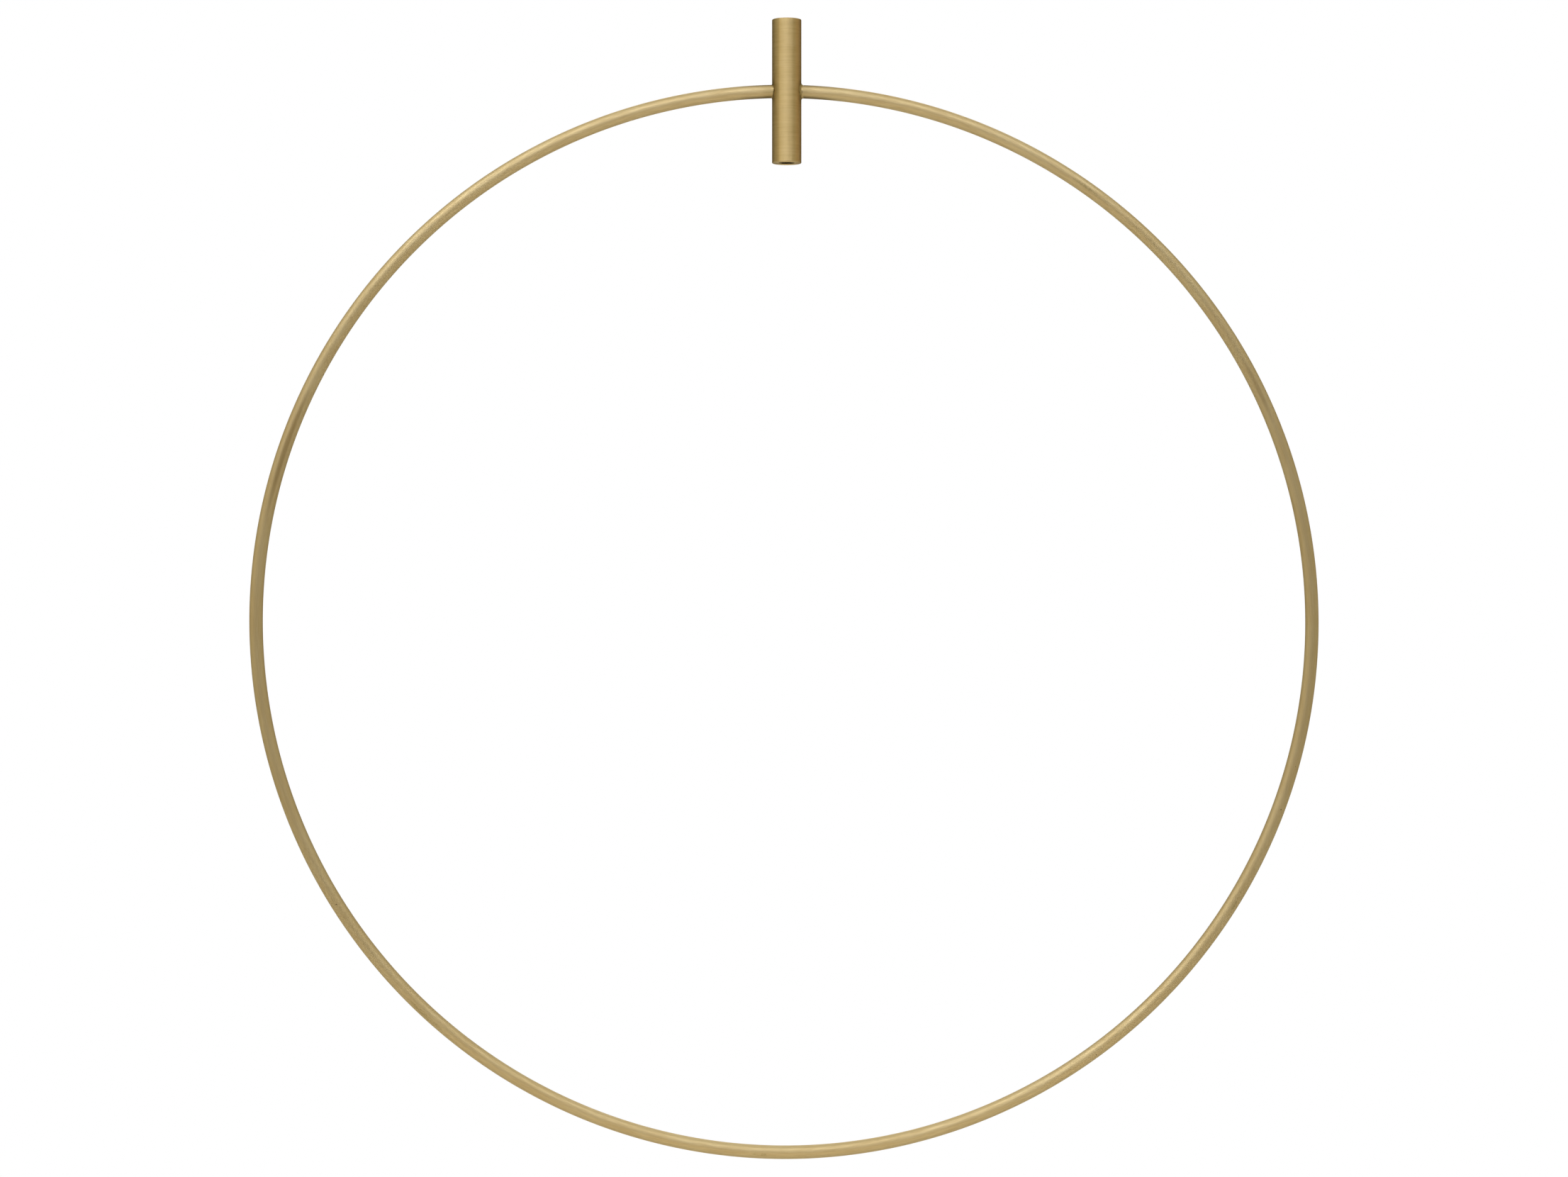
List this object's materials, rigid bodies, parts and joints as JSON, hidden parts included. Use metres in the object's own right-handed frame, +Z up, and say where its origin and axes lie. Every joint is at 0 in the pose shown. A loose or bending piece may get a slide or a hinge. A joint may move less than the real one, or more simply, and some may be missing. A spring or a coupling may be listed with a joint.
{
  "type": "wreath frame",
  "caption": "Hanging wreath frame: a thin round brass hoop closed at the top by a short drilled sleeve that takes a hanging cord.",
  "frame": {"origin": "on the sleeve's axis at the middle of its length, where the hoop's centreline crosses it", "axes": "+Z up along the sleeve's hole, +X to the right in the hoop's plane, +Y through the hoop from front to back"},
  "size_m": [0.3998, 0.011, 0.4244],
  "materials": {
    "hoop_brass": "brushed, darkened satin",
    "sleeve_brass": "fine brushing round the sleeve, darkened satin",
    "braze": "filler metal dressed smooth, darkened"
  },
  "bodies": {
    "root": {"hoop": "hoop_brass", "sleeve": "sleeve_brass", "braze_left": "braze", "braze_right": "braze"}
  },
  "joints": []
}
